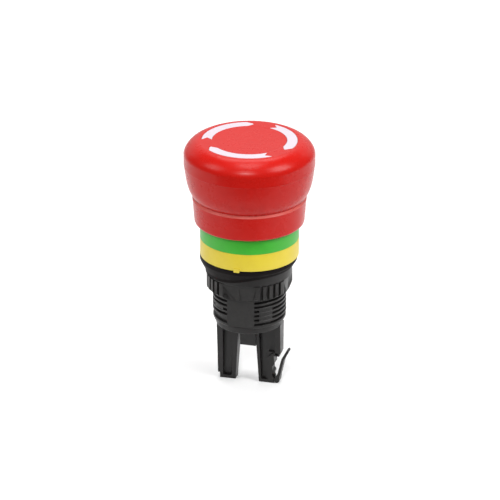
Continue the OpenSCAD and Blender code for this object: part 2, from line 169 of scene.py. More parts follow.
floor_mesh = bpy.data.meshes.new("floor")
forward = view_direction(CAMERA_AZIMUTH, 0)
sideways = Vector((-forward.y, forward.x, 0))
corners = [(-1, -FLOOR_BACK), (1, -FLOOR_BACK), (1, FLOOR_FRONT), (-1, FLOOR_FRONT)]
corners = [sideways * side * FLOOR_SIDE + forward * ahead for side, ahead in corners]
floor_mesh.from_pydata([(c.x, c.y, TIP_Z * MM) for c in corners], [], [(0, 1, 2, 3)])
floor = bpy.data.objects.new("floor", floor_mesh)
bpy.context.scene.collection.objects.link(floor)
floor_paper = bpy.data.materials.new("white_paper")
floor_paper.use_nodes = True
paper_shader = floor_paper.node_tree.nodes["Principled BSDF"]
paper_shader.inputs["Base Color"].default_value = (0.9, 0.9, 0.9, 1)
paper_shader.inputs["Roughness"].default_value = 0.9
floor_mesh.materials.append(floor_paper)
print("floor at", round(TIP_Z, 2), "mm, under the fork's tips")


# %% [markdown]
# ## Drawing outlines
# Almost every piece starts as an outline. An outline here is a list of points, each with the
# radius of its corner. A sharp corner has radius 0. One helper turns the list into a smooth
# polygon, so that a shape stays a handful of numbers that can be read and changed. Two more
# give an arc and a plain rectangle.

# %% Outlines with rounded corners
CORNER_STEPS = 4


def rounded(corners, steps=CORNER_STEPS):
    """Points of a closed outline. Each corner is (across, up) or (across, up, corner radius)."""
    points = []
    for i, corner in enumerate(corners):
        here = Vector(corner[:2])
        if len(corner) == 2 or corner[2] == 0:
            points.append(tuple(here))
            continue
        back = Vector(corners[i - 1][:2]) - here
        ahead = Vector(corners[(i + 1) % len(corners)][:2]) - here
        length = corner[2] / math.tan(back.angle(ahead) / 2)
        start = here + back.normalized() * min(length, 0.45 * back.length)
        end = here + ahead.normalized() * min(length, 0.45 * ahead.length)
        for k in range(steps + 1):
            t = k / steps
            points.append(tuple(start * (1 - t) ** 2 + here * 2 * t * (1 - t) + end * t ** 2))
    return points


def arc(radius, start, stop, steps, centre=(0, 0), squeeze=1):
    """Points on an arc between two angles in degrees. squeeze flattens it upwards."""
    angles = [math.radians(start + (stop - start) * k / steps) for k in range(steps + 1)]
    return [(centre[0] + radius * math.cos(a), centre[1] + squeeze * radius * math.sin(a)) for a in angles]


def rectangle(left, right, low, high):
    """The four sharp corners of a rectangle."""
    return [(left, low), (right, low), (right, high), (left, high)]


trial_square = rounded([(0, 0, 1), (9, 0, 1), (9, 9, 1), (0, 9, 1)])
print("a square with rounded corners has", len(trial_square), "points")


# %% [markdown]
# ## From outline to solid
# Two ways of making a solid cover this whole object. Round pieces are turned: their outline is
# swept around the axis, as on a lathe. Flat pieces are plates: their outline is pushed straight
# through. Both are written with bmesh, which gives closed meshes and clean quads. Edges that
# meet at a steep angle stay sharp and the rest is shaded smooth.

# %% Turning and pushing outlines
TURN_STEPS = 144
SHARP_ANGLE = math.radians(32)


def finish_mesh(form, name):
    """Makes an object from a bmesh drawn in millimetres."""
    bmesh.ops.remove_doubles(form, verts=form.verts, dist=1e-5)
    bmesh.ops.recalc_face_normals(form, faces=form.faces)
    bmesh.ops.scale(form, vec=(MM, MM, MM), verts=form.verts)
    mesh = bpy.data.meshes.new(name)
    form.to_mesh(mesh)
    form.free()
    piece = bpy.data.objects.new(name, mesh)
    bpy.context.scene.collection.objects.link(piece)
    shade(piece)
    return piece


def shade(piece):
    """Smooth shading, with steep edges kept sharp."""
    piece.data.shade_smooth()
    piece.data.set_sharp_from_angle(angle=SHARP_ANGLE)


def skin(form, rings, around=True, along=True):
    """Quads between rings of vertices that all have the same count."""
    pairs = len(rings) if around else len(rings) - 1
    for k in range(pairs):
        here, there = rings[k], rings[(k + 1) % len(rings)]
        for i in range(len(here) if along else len(here) - 1):
            j = (i + 1) % len(here)
            form.faces.new((here[i], there[i], there[j], here[j]))


def turned(name, outline, steps=TURN_STEPS):
    """A solid turned about the axis from an outline of (radius, height) points.
    The outline may be a function of the angle, for a piece that isn't quite round."""
    form = bmesh.new()
    rings = []
    for k in range(steps):
        angle = 2 * math.pi * k / steps
        points = outline(angle) if callable(outline) else outline
        rings.append([form.verts.new((r * math.cos(angle), r * math.sin(angle), z)) for r, z in points])
    skin(form, rings)
    return finish_mesh(form, name)


def plate(name, outline, low, high, across="Y"):
    """A plate pushed between two levels: along Y from an (x, z) outline, or along Z from (x, y)."""
    form = bmesh.new()
    place = (lambda a, b, t: (a, t, b)) if across == "Y" else (lambda a, b, t: (a, b, t))
    ends = [[form.verts.new(place(a, b, level)) for a, b in outline] for level in (low, high)]
    skin(form, ends, around=False)
    for end in ends:
        form.faces.new(end)
    return finish_mesh(form, name)


trial = turned("trial_ring", [(10, 0), (12, 0), (12, 2), (10, 2)])
print("a turned ring has", len(trial.data.polygons), "faces")
bpy.data.objects.remove(trial)


# %% [markdown]
# ## Cutting and softening
# Pockets and slots are cut with Blender's boolean modifier, set to its exact solver, because
# it leaves a closed mesh. No moulded edge is truly sharp, so a narrow bevel follows. Weighted
# normals then keep the big faces flat while the bevel takes all the bend. The modifiers are
# applied at once, so that the mesh that is seen is the mesh that is kept.

# %% Cut, join and bevel
def settle(piece):
    """Applies a piece's modifiers."""
    graph = bpy.context.evaluated_depsgraph_get()
    mesh = bpy.data.meshes.new_from_object(piece.evaluated_get(graph))
    piece.modifiers.clear()
    piece.data = mesh
    return piece


def combine(piece, other, operation):
    """Boolean of two closed pieces. The second one is used up."""
    step = piece.modifiers.new("combine", "BOOLEAN")
    step.object = other
    step.operation = operation
    step.solver = "EXACT"
    settle(piece)
    bpy.data.objects.remove(other)
    return piece


def cut(piece, *cutters):
    """Takes each cutter away from the piece."""
    for cutter in cutters:
        combine(piece, cutter, "DIFFERENCE")
    return piece


def soften(piece, width, segments=2, angle=30):
    """Rounds every steep edge by a small width in millimetres."""
    bevel = piece.modifiers.new("edge", "BEVEL")
    bevel.width = width * MM
    bevel.segments = segments
    bevel.limit_method = "ANGLE"
    bevel.angle_limit = math.radians(angle)
    bevel.use_clamp_overlap = True
    bevel.miter_outer = "MITER_ARC"
    piece.data.shade_smooth()
    even = piece.modifiers.new("even_shading", "WEIGHTED_NORMAL")
    even.keep_sharp = True
    return settle(piece)


def block(name, x, y, z):
    """A block between pairs of coordinates."""
    return plate(name, rectangle(*x, *z), *y)


# %% [markdown]
# ## Shared surface effects
# The finishes share three effects, so each is a node group that is built once and placed in
# every material with its own values. The first is the fine skin of a moulded surface: tiny
# grain over a slow waviness from the melt, and a soft mottle in the colour. The groups take
# their position from the material, so the pattern stays on the piece when the piece moves.

# %% Node helpers and the moulded skin group
def new_group(name, inputs, outputs):
    """An empty shader group with float or vector inputs and float outputs."""
    group = bpy.data.node_groups.new(name, "ShaderNodeTree")
    for label, kind, value in inputs:
        socket = group.interface.new_socket(name=label, in_out="INPUT", socket_type=kind)
        if value is not None:
            socket.default_value = value
    for label in outputs:
        group.interface.new_socket(name=label, in_out="OUTPUT", socket_type="NodeSocketFloat")
    start = group.nodes.new("NodeGroupInput")
    end = group.nodes.new("NodeGroupOutput")
    return group, start, end


def maths(tree, operation, first, second):
    """A Math node fed by sockets or plain numbers."""
    node = tree.nodes.new("ShaderNodeMath")
    node.operation = operation
    for socket, value in zip(node.inputs, (first, second)):
        if isinstance(value, bpy.types.NodeSocket):
            tree.links.new(value, socket)
        else:
            socket.default_value = value
    return node.outputs[0]


def noise(tree, vector, scale, detail, roughness=0.5):
    """A Noise Texture fed by a position. scale is a socket or a number of features a metre."""
    node = tree.nodes.new("ShaderNodeTexNoise")
    node.inputs["Detail"].default_value = detail
    node.inputs["Roughness"].default_value = roughness
    tree.links.new(vector, node.inputs["Vector"])
    if isinstance(scale, bpy.types.NodeSocket):
        tree.links.new(scale, node.inputs["Scale"])
    else:
        node.inputs["Scale"].default_value = scale
    return node.outputs[0]


def stretch(tree, value, low, high, to_low=0.0, to_high=1.0):
    """A Map Range node from one span to another."""
    node = tree.nodes.new("ShaderNodeMapRange")
    tree.links.new(value, node.inputs["Value"])
    for label, number in (("From Min", low), ("From Max", high), ("To Min", to_low), ("To Max", to_high)):
        if isinstance(number, bpy.types.NodeSocket):
            tree.links.new(number, node.inputs[label])
        else:
            node.inputs[label].default_value = number
    return node.outputs["Result"]


FLOAT, VECTOR = "NodeSocketFloat", "NodeSocketVector"
moulded_skin, start, end = new_group(
    "moulded_skin",
    [("Position", VECTOR, None), ("Grain Per Metre", FLOAT, 6000.0), ("Grain", FLOAT, 0.5),
     ("Waviness", FLOAT, 0.5)],
    ["Height", "Mottle"],
)
fine = noise(moulded_skin, start.outputs["Position"], start.outputs["Grain Per Metre"], 3)
slow = noise(moulded_skin, start.outputs["Position"], 160, 2)
grain_height = maths(moulded_skin, "MULTIPLY", fine, start.outputs["Grain"])
wave_height = maths(moulded_skin, "MULTIPLY", slow, start.outputs["Waviness"])
moulded_skin.links.new(maths(moulded_skin, "ADD", grain_height, wave_height), end.inputs["Height"])
cloudy = noise(moulded_skin, start.outputs["Position"], 320, 4, 0.6)
moulded_skin.links.new(stretch(moulded_skin, cloudy, 0.3, 0.7), end.inputs["Mottle"])
print("group moulded_skin has", len(moulded_skin.nodes), "nodes")


# %% [markdown]
# The second effect is edge wear. Handling polishes and whitens the corners of a plastic part
# first. Cycles can tell how pointed each spot of a surface is, and that value, broken up by
# noise, makes a mask that runs along the edges only. A painted mask would need to be redrawn
# for each piece.

# %% The edge wear group
edge_wear, start, end = new_group(
    "edge_wear",
    [("Position", VECTOR, None), ("Pointiness", FLOAT, 0.5), ("Threshold", FLOAT, 0.53),
     ("Softness", FLOAT, 0.06), ("Amount", FLOAT, 0.5)],
    ["Mask"],
)
upper = maths(edge_wear, "ADD", start.outputs["Threshold"], start.outputs["Softness"])
ridge = stretch(edge_wear, start.outputs["Pointiness"], start.outputs["Threshold"], upper)
patchy = stretch(edge_wear, noise(edge_wear, start.outputs["Position"], 900, 4, 0.65), 0.35, 0.7, 0.25, 1.0)
worn = maths(edge_wear, "MULTIPLY", maths(edge_wear, "MULTIPLY", ridge, patchy), start.outputs["Amount"])
edge_wear.links.new(worn, end.inputs["Mask"])
print("group edge_wear has", len(edge_wear.nodes), "nodes")


# %% [markdown]
# The third effect is handling: faint smears and dust that change only how rough the surface
# is. They are invisible straight on and show where a highlight crosses them, which is how a
# touched surface differs from a new one.

# %% The handling group
handling, start, end = new_group(
    "handling",
    [("Position", VECTOR, None), ("Roughness", FLOAT, 0.4), ("Smear", FLOAT, 0.1)],
    ["Roughness"],
)
smears = stretch(handling, noise(handling, start.outputs["Position"], 110, 5, 0.7), 0.35, 0.7, -0.5, 0.5)
specks = stretch(handling, noise(handling, start.outputs["Position"], 2600, 2), 0.62, 0.75, 0.0, 0.4)
change = maths(handling, "MULTIPLY", maths(handling, "ADD", smears, specks), start.outputs["Smear"])
handling.links.new(maths(handling, "ADD", start.outputs["Roughness"], change), end.inputs["Roughness"])
print("group handling has", len(handling.nodes), "nodes")


# %% [markdown]
# ## Moulded finishes
# Every plastic and rubber piece here has the same structure: a colour that drifts a little
# towards a second shade, lighter worn edges, uneven roughness and a very shallow bump. One
# function wires that up and each finish passes its own numbers. The gloss itself comes from
# the Principled shader, so it stays right from every side.

# %% A function for moulded finishes
def place_group(tree, group, **values):
    """Places a shared group and sets or links its inputs."""
    node = tree.nodes.new("ShaderNodeGroup")
    node.node_tree = group
    for label, value in values.items():
        socket = node.inputs[label.replace("_", " ")]
        if isinstance(value, bpy.types.NodeSocket):
            tree.links.new(value, socket)
        else:
            socket.default_value = value
    return node


def blend_colour(tree, factor, first, second):
    """A colour Mix node. The colours are sockets or (r, g, b)."""
    node = tree.nodes.new("ShaderNodeMix")
    node.data_type = "RGBA"
    tree.links.new(factor, node.inputs["Factor"])
    for label, colour in (("A", first), ("B", second)):
        socket = [s for s in node.inputs if s.name == label and s.type == "RGBA"][0]
        if isinstance(colour, bpy.types.NodeSocket):
            tree.links.new(colour, socket)
        else:
            socket.default_value = (*colour, 1)
    return [s for s in node.outputs if s.type == "RGBA"][0]


def moulded(name, colour, shade_colour, worn_colour, roughness, grain=6000, depth=8e-6, waviness=0.6,
            smear=0.1, wear=0.4, specular=0.5):
    """A moulded plastic or rubber material."""
    material = bpy.data.materials.new(name)
    material.use_nodes = True
    tree = material.node_tree
    shader = tree.nodes["Principled BSDF"]
    position = tree.nodes.new("ShaderNodeTexCoord").outputs["Object"]
    pointed = tree.nodes.new("ShaderNodeNewGeometry").outputs["Pointiness"]
    surface = place_group(tree, moulded_skin, Position=position, Grain_Per_Metre=grain, Grain=0.7,
                          Waviness=waviness)
    edges = place_group(tree, edge_wear, Position=position, Pointiness=pointed, Amount=wear)
    touch = place_group(tree, handling, Position=position, Roughness=roughness, Smear=smear)
    body_colour = blend_colour(tree, surface.outputs["Mottle"], colour, shade_colour)
    final_colour = blend_colour(tree, edges.outputs["Mask"], body_colour, worn_colour)
    bump = tree.nodes.new("ShaderNodeBump")
    bump.inputs["Distance"].default_value = depth
    tree.links.new(surface.outputs["Height"], bump.inputs["Height"])
    tree.links.new(final_colour, shader.inputs["Base Color"])
    tree.links.new(touch.outputs["Roughness"], shader.inputs["Roughness"])
    tree.links.new(bump.outputs["Normal"], shader.inputs["Normal"])
    shader.inputs["Specular IOR Level"].default_value = specular
    return material


# %% [markdown]
# The signal colours are saturated, evenly pigmented plastics with a satin gloss: red for the
# head, white for the inlaid arrows, green for the indicator ring and yellow for the collar.
# Their shade colours stay close to the main colour, because good pigment hardly mottles.

# %% The four signal colours
red_plastic = moulded(
    "red_plastic", (0.50, 0.0085, 0.005), (0.48, 0.0078, 0.0046), (0.62, 0.06, 0.045), 0.28,
    depth=2e-6, waviness=1.2, smear=0.03, wear=0.15, specular=0.19)
white_plastic = moulded(
    "white_plastic", (0.58, 0.51, 0.565), (0.56, 0.49, 0.545), (0.62, 0.56, 0.60), 0.4,
    depth=2e-6, smear=0.04, specular=0.3)
green_plastic = moulded(
    "green_plastic", (0.030, 0.41, 0.012), (0.026, 0.37, 0.010), (0.12, 0.45, 0.08), 0.4,
    depth=2e-6, smear=0.04, wear=0.2)
yellow_plastic = moulded(
    "yellow_plastic", (0.70, 0.56, 0.03), (0.67, 0.52, 0.028), (0.78, 0.68, 0.2), 0.4,
    depth=2e-6, smear=0.04, wear=0.2)
print("signal colours ready")


# %% [markdown]
# The cap's ledge shows as a pale line, where the ledge catches the light. That light is a
# painted highlight here: a small group masks a band between two heights, and the material
# mixes a little of a pale red in there. The painted highlight stays the same from every
# side.

# %% A painted highlight on the ledge
height_band, start, end = new_group(
    "height_band", [("Position", VECTOR, None), ("Low", FLOAT, 0.0), ("High", FLOAT, 0.001)], ["Mask"])
split = height_band.nodes.new("ShaderNodeSeparateXYZ")
height_band.links.new(start.outputs["Position"], split.inputs["Vector"])
above = maths(height_band, "GREATER_THAN", split.outputs["Z"], start.outputs["Low"])
below = maths(height_band, "LESS_THAN", split.outputs["Z"], start.outputs["High"])
height_band.links.new(maths(height_band, "MULTIPLY", above, below), end.inputs["Mask"])

# The pale red mixed into this band on the ledge is a painted highlight, not a colour of the plastic.
STRIPE_LOW, STRIPE_HIGH = HEAD_TOP - 18.12, HEAD_TOP - 17.38
HIGHLIGHT_STRENGTH = 0.16
HIGHLIGHT_RED = (1.0, 0.62, 0.54)
red_tree = red_plastic.node_tree
red_shader = red_tree.nodes["Principled BSDF"]
red_position = red_tree.nodes.new("ShaderNodeTexCoord").outputs["Object"]
stripe = place_group(red_tree, height_band, Position=red_position,
                     Low=STRIPE_LOW * MM, High=STRIPE_HIGH * MM)
highlight_share = maths(red_tree, "MULTIPLY", stripe.outputs["Mask"], HIGHLIGHT_STRENGTH)
plain_red = red_shader.inputs["Base Color"].links[0].from_socket
striped_red = blend_colour(red_tree, highlight_share, plain_red, HIGHLIGHT_RED)
red_tree.links.new(striped_red, red_shader.inputs["Base Color"])
print("painted_highlight stripe ready")


# %% [markdown]
# The barrel, nut and fork are glass-filled nylon. It is never quite black: the fibres leave a
# dull, slightly streaky grey skin. Grain is coarser here and the edges show paler. The gasket
# is a softer, deeper black rubber with almost no gloss.

# %% Black plastic and rubber
black_plastic = moulded(
    "black_plastic", (0.0115, 0.0105, 0.0103), (0.009, 0.0083, 0.008), (0.06, 0.058, 0.056), 0.38,
    grain=4200, waviness=1.2, smear=0.15, wear=0.16, specular=0.31)
black_rubber = moulded(
    "black_rubber", (0.0055, 0.0035, 0.0035), (0.004, 0.0028, 0.0028), (0.016, 0.012, 0.011), 0.62,
    grain=3500, depth=1.4e-5, waviness=1.0, smear=0.15, wear=0.3, specular=0.1)
print("black finishes ready")


# %% [markdown]
# Inside the button sit parts that nobody sees until it is opened. They are dressed too: grey
# structural plastic, ivory acetal for the parts that rub, plated steel and turned brass.

# %% Grey and ivory plastic
grey_plastic = moulded(
    "grey_plastic", (0.10, 0.10, 0.105), (0.085, 0.085, 0.09), (0.2, 0.2, 0.2), 0.5, depth=1.2e-5)
ivory_plastic = moulded(
    "ivory_plastic", (0.62, 0.58, 0.48), (0.56, 0.52, 0.42), (0.7, 0.66, 0.56), 0.38)
print("inner plastics ready")


# %% [markdown]
# Turned metal carries fine rings left by the tool. The rings are a wave texture along the
# axis, used as a bump, and the colour varies a little with a slow noise, as plating does.

# %% Steel and brass
TOOL_MARKS_PER_METRE = 5000


def turned_metal(name, colour, shade_colour, roughness):
    """A metal with fine turning marks."""
    material = bpy.data.materials.new(name)
    material.use_nodes = True
    tree = material.node_tree
    shader = tree.nodes["Principled BSDF"]
    position = tree.nodes.new("ShaderNodeTexCoord").outputs["Object"]
    marks = tree.nodes.new("ShaderNodeTexWave")
    marks.bands_direction = "Z"
    marks.inputs["Scale"].default_value = TOOL_MARKS_PER_METRE
    marks.inputs["Distortion"].default_value = 2
    tree.links.new(position, marks.inputs["Vector"])
    surface = place_group(tree, moulded_skin, Position=position)
    touch = place_group(tree, handling, Position=position, Roughness=roughness, Smear=0.2)
    plated = blend_colour(tree, surface.outputs["Mottle"], colour, shade_colour)
    tree.links.new(plated, shader.inputs["Base Color"])
    tree.links.new(touch.outputs["Roughness"], shader.inputs["Roughness"])
    bump = tree.nodes.new("ShaderNodeBump")
    bump.inputs["Distance"].default_value = 6e-6
    tree.links.new(marks.outputs["Fac"], bump.inputs["Height"])
    tree.links.new(bump.outputs["Normal"], shader.inputs["Normal"])
    shader.inputs["Metallic"].default_value = 1
    return material


steel = turned_metal("plated_steel", (0.58, 0.58, 0.60), (0.48, 0.49, 0.52), 0.32)
brass = turned_metal("turned_brass", (0.72, 0.52, 0.22), (0.62, 0.43, 0.17), 0.3)
FINISHES = {
    "red_plastic": red_plastic, "white_plastic": white_plastic, "green_plastic": green_plastic,
    "yellow_plastic": yellow_plastic, "black_plastic": black_plastic, "black_rubber": black_rubber,
    "grey_plastic": grey_plastic, "ivory_plastic": ivory_plastic, "steel": steel, "brass": brass,
}
print(len(FINISHES), "finishes")


# %% [markdown]
# ## Fitting a piece
# Each finished mesh is given its finish and told which body it moves with, and the pieces of
# the model that it stands for are hidden. One helper does all of it, so that no piece is left
# behind when the button is pressed.

# %% The fitting helper
def fit_piece(piece, body, finish, *nodes):
    """Gives a piece its finish and its body, and hides the model pieces it stands for."""
    piece.data.materials.clear()
    piece.data.materials.append(FINISHES[finish])
    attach(piece, body)
    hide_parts(*nodes)
    low = min(v.co.z for v in piece.data.vertices) / MM
    high = max(v.co.z for v in piece.data.vertices) / MM
    print(f"{piece.name}: {len(piece.data.polygons)} faces, {low:.2f} to {high:.2f} mm, on {body}")
    return piece


# %% [markdown]
# ## The mushroom cap
# The cap is a single red moulding. From below: a short skirt with a round lower edge, a thin
# ledge that catches the light, a bulging grip that swells outwards, a straight band with a
# faint edge above and below it, and a wide shoulder that rolls into the flat top. Inside it is
# hollow, with walls of even thickness, as any moulding must be. It could be sculpted, but it
# is round, so turning one outline is exact and takes a few lines.

# %% Turn the cap
SKIRT_R = 16.37
LEDGE_R = 17.0
LEDGE_Z = HEAD_TOP - 17.6
BAND_LOW = HEAD_TOP - 7.5
BAND_TOP = HEAD_TOP - 4.3
LINE_Z = HEAD_TOP - 2.45
SHOULDER_IN = HEAD_R - 4.8
SHOULDER_CURVE = 1.7
CAVITY_R = 15.15
CEILING_Z = HEAD_TOP - 2.6
DISC_R = 10.85


def bulge(steps):
    """The grip's outline, a cubic curve from the ledge out to the band."""
    a, b = Vector((LEDGE_R - 0.6, LEDGE_Z + 0.12)), Vector((LEDGE_R + 1.3, LEDGE_Z + 2.1))
    c, d = Vector((HEAD_R - 0.65, BAND_LOW - 5.2)), Vector((HEAD_R - 0.08, BAND_LOW))
    points = []
    for k in range(steps + 1):
        t = k / steps
        low_half = a * (1 - t) ** 3 + b * 3 * t * (1 - t) ** 2
        points.append(tuple(low_half + c * 3 * t ** 2 * (1 - t) + d * t ** 3))
    return points


def shoulder_outline(steps):
    """The shoulder, a squashed circle that is a little flatter than round, with a parting line."""
    points = []
    for k in range(1, steps + 1):
        turn = math.pi / 2 * k / steps
        r = SHOULDER_IN + (HEAD_R - SHOULDER_IN) * math.cos(turn) ** (2 / SHOULDER_CURVE)
        z = BAND_TOP + (HEAD_TOP - BAND_TOP) * math.sin(turn) ** (2 / SHOULDER_CURVE)
        points.append((r, z))
    below = [p for p in points if p[1] < LINE_Z - 0.15]
    above = [p for p in points if p[1] > LINE_Z + 0.15]
    share = (LINE_Z - below[-1][1]) / (above[0][1] - below[-1][1])
    line_r = below[-1][0] + (above[0][0] - below[-1][0]) * share
    line = [(line_r + 0.02, LINE_Z - 0.04), (line_r - 0.03, LINE_Z + 0.03)]
    return below + line + above


def cap_outline():
    """Half of the cap's section, outside first, then the hollow."""
    skirt = rounded([
        (CAVITY_R, SKIRT_LOW, 0.3), (SKIRT_R, SKIRT_LOW, 0.95), (LEDGE_R - 0.05, LEDGE_Z - 0.6, 0.3),
        (LEDGE_R + 0.02, LEDGE_Z - 0.42, 0.12), (LEDGE_R - 0.6, LEDGE_Z + 0.1)])[:-1]
    shoulder = shoulder_outline(30)
    disc_z = HEAD_TOP - 0.07
    top = [(DISC_R + 0.12, HEAD_TOP), (DISC_R, HEAD_TOP - 0.02), (DISC_R - 0.15, disc_z), (0, disc_z)]
    hollow = [
        (0, CEILING_Z), (16, CEILING_Z, 0.8), (17.2, CEILING_Z - 1.2, 0.8), (17.2, BAND_LOW - 1.8, 1.5),
        (16.4, LEDGE_Z + 4, 1.5), (CAVITY_R, LEDGE_Z - 0.2, 1.5)]
    band = [(HEAD_R, BAND_LOW + 0.1), (HEAD_R, BAND_TOP)]
    return skirt + bulge(18) + band + shoulder + top + rounded(hollow + [(CAVITY_R, SKIRT_LOW + 1)])


cap = turned("red_mushroom_cap", cap_outline(), 192)
print("cap turned,", len(cap.data.polygons), "faces")


# %% [markdown]
# ## The arrows
# Three white arrows show which way to twist. On the real cap they are a second shot of
# plastic that fills pockets in the red. The same outline serves twice here: a little larger to
# cut the pockets, and a little smaller for the inlays, which leaves a hairline joint all
# round. Painting them on with a texture would lose that joint, and the arrows' own mesh.

# %% Cut the pockets and lay in the arrows
ARROW_OUT, ARROW_IN = 14.2, 11.1
ARROW_SWEEP, ARROW_POINT, ARROW_NOTCH = 95, 10, 7.5
FIRST_TAIL = 193
INLAY_DEPTH = 0.4


def arrow_outline(number, grow):
    """An arrow that runs clockwise, with a blunt point and a notched tail."""
    tail = FIRST_TAIL - 120 * number
    tip = tail - ARROW_SWEEP
    out, inside = ARROW_OUT + grow, ARROW_IN - grow
    middle = (out + inside) / 2
    slip = math.degrees(grow / middle)

    def spot(radius, angle, corner):
        return radius * math.cos(math.radians(angle)), radius * math.sin(math.radians(angle)), corner

    outer = [spot(out, tail + slip, 0.12)] + [spot(out, tail - 5 * k, 0) for k in range(1, 17)]
    inner = [spot(inside, tail - 5 * k, 0) for k in range(16, 0, -1)] + [spot(inside, tail + slip, 0.12)]
    barb = tip + ARROW_POINT
    point = [spot(out, barb, 0.7), spot(middle, tip - slip, 0.5), spot(inside, barb, 0.7)]
    notch = [spot(middle, tail - ARROW_NOTCH + slip, 0.15)]
    return rounded(outer + point + inner + notch)


for number in range(3):
    cut(cap, plate("pocket", arrow_outline(number, 0.05), HEAD_TOP - INLAY_DEPTH, HEAD_TOP + 1, "Z"))
soften(cap, 0.05, 2, 40)
fit_piece(cap, "head", "red_plastic", "mushroom_cap")

for number in range(3):
    arrow = plate(f"white_arrow_{number + 1}", arrow_outline(number, -0.03), HEAD_TOP - INLAY_DEPTH + 0.01,
                  HEAD_TOP + 0.01, "Z")
    soften(arrow, 0.06, 2, 40)
    fit_piece(arrow, "head", "white_plastic", "arrow_inlays")


# %% [markdown]
# ## Indicator ring and collar
# Two plain rings sit under the cap: green above and yellow below. They are simple, so their
# finish depends on small things: a softened edge on each, which draws a hairline between the
# two colours, and the small lug on the collar that tells the fitter where the front is.

# %% Turn the rings and add the lug
LUG_W, LUG_DROP = 1.8, 0.4
NECK_R = 11.05

ring = turned("green_indicator_ring", rounded([
    (NECK_R, RING_LOW), (RING_R, RING_LOW, 0.12), (RING_R, RING_TOP, 0.35), (RING_R - 0.9, RING_TOP, 0.2),
    (RING_R - 1.1, RING_TOP - 0.4, 0.2), (NECK_R, RING_TOP - 0.4)]))
fit_piece(ring, "housing", "green_plastic", "indicator_ring")

collar = turned("yellow_collar", rounded([
    (NECK_R, GASKET_TOP), (RING_R, GASKET_TOP, 0.14), (RING_R, RING_LOW - 0.02, 0.12),
    (NECK_R, RING_LOW - 0.02)]))
lug_low, lug_high = GASKET_TOP - LUG_DROP, GASKET_TOP + 0.8
lug = plate("lug", rounded([
    (-LUG_W / 2, lug_low, 0.25), (LUG_W / 2, lug_low, 0.25), (LUG_W / 2, lug_high, 0.2),
    (-LUG_W / 2, lug_high, 0.2)]), -RING_R - 0.2, -RING_R + 0.7)
combine(collar, lug, "UNION")
shade(collar)
fit_piece(collar, "housing", "yellow_plastic", "collar")


# %% [markdown]
# ## The gasket
# The rubber gasket is a short cylinder that tapers to the panel. With no panel in place the
# nut presses straight on it, and the soft lip has slipped down over the washer on one side and
# ridden up on the other. So its outline changes with the angle: the turning helper is given a
# function, and a smooth step around the axis moves the lip. A cloth simulation could do it
# too, but the rubber is thick and stiff, and one formula keeps it clear of the washer.

# %% Turn the gasket with its bent lip
CONE_TOP = GASKET_TOP - 1.4
LIP_MIDDLE, LIP_SWING = -1.25, 1.3
LIP_TURN = math.radians(-85)
STEP_SHARPNESS = 2.0


def lip_height(angle):
    """Height of the lip's lower edge around the gasket."""
    step = math.tanh(STEP_SHARPNESS * math.sin(angle - LIP_TURN)) / math.tanh(STEP_SHARPNESS)
    return LIP_MIDDLE + LIP_SWING * step


def gasket_outline(angle):
    """The gasket's section at one angle. It has the same number of points all round."""
    lip = lip_height(angle)
    hang = max(0.0, min(1.0, -lip / 1.2))
    lip_r = 13.22 - 0.06 * hang + 0.35 * max(0.0, lip + 0.2)
    inner_r = WASHER_R + 0.07
    outer_r = GASKET_R - 0.5 * max(0.0, math.cos(angle - math.radians(15))) ** 2
    under = max(lip + 0.02, 0.0)
    return rounded([
        (NECK_R, GASKET_TOP), (outer_r, GASKET_TOP, 0.08), (outer_r, CONE_TOP, 0.8),
        (lip_r + 0.3 * (1 - hang), lip + 0.9, 0.5), (lip_r, lip, 0.14), (inner_r, lip + 0.02, 0.08),
        (inner_r - 0.02, under + 0.02, 0.05), (NECK_R, 0.02)])


gasket = turned("rubber_gasket", gasket_outline, 180)
fit_piece(gasket, "housing", "black_rubber", "panel_gasket")


# %% [markdown]
# ## The keyed washer
# The washer shows as a smooth band between the gasket and the nut. Two flats in its bore slide
# on the barrel's flats, so it can't turn while the nut is tightened. Its edge is turned, and
# the keyed hole is cut with a plate.

# %% Make the washer
THREAD_R = 11.0
FLAT_Y = 10.15


def flatted_circle(radius, flat):
    """A circle with two flats, as an (x, y) outline."""
    limit = math.degrees(math.asin(flat / radius))
    right = arc(radius, -limit, limit, 40)
    left = arc(radius, 180 - limit, 180 + limit, 40)
    return right + left


washer = turned("keyed_washer", rounded([
    (6, WASHER_LOW), (WASHER_R, WASHER_LOW, 0.2), (WASHER_R, WASHER_TOP, 0.25), (6, WASHER_TOP)]))
keyed_hole = flatted_circle(THREAD_R + 0.1, FLAT_Y + 0.1)
cut(washer, plate("keyed_hole", keyed_hole, WASHER_LOW - 1, WASHER_TOP + 1, "Z"))
soften(washer, 0.08, 2, 50)
fit_piece(washer, "washer", "black_plastic", "lock_washer")


# %% [markdown]
# ## The ring nut
# Seen from below, the nut is a ring with four flats, for a spanner, and four round corners,
# ribbed for the fingers. The outline walks once around it: along each flat, then over each
# corner with a square groove between the ribs. A small notch marks one end of each flat, and
# the lower edge is chamfered where the flats meet the corners.

# %% Make the nut
NUT_R = 12.95
GROOVE_W, GROOVE_DEEP = 0.9, 0.75
GROOVE_ANGLES = (31, 40.3, 49.6, 58.9)


def on_circle(radius, degrees):
    """A point on a circle about the axis."""
    return radius * math.cos(math.radians(degrees)), radius * math.sin(math.radians(degrees))


def turn_outline(outline, degrees):
    """An (x, y) outline turned about the axis."""
    c, s = math.cos(math.radians(degrees)), math.sin(math.radians(degrees))
    return [(x * c - y * s, x * s + y * c) for x, y in outline]


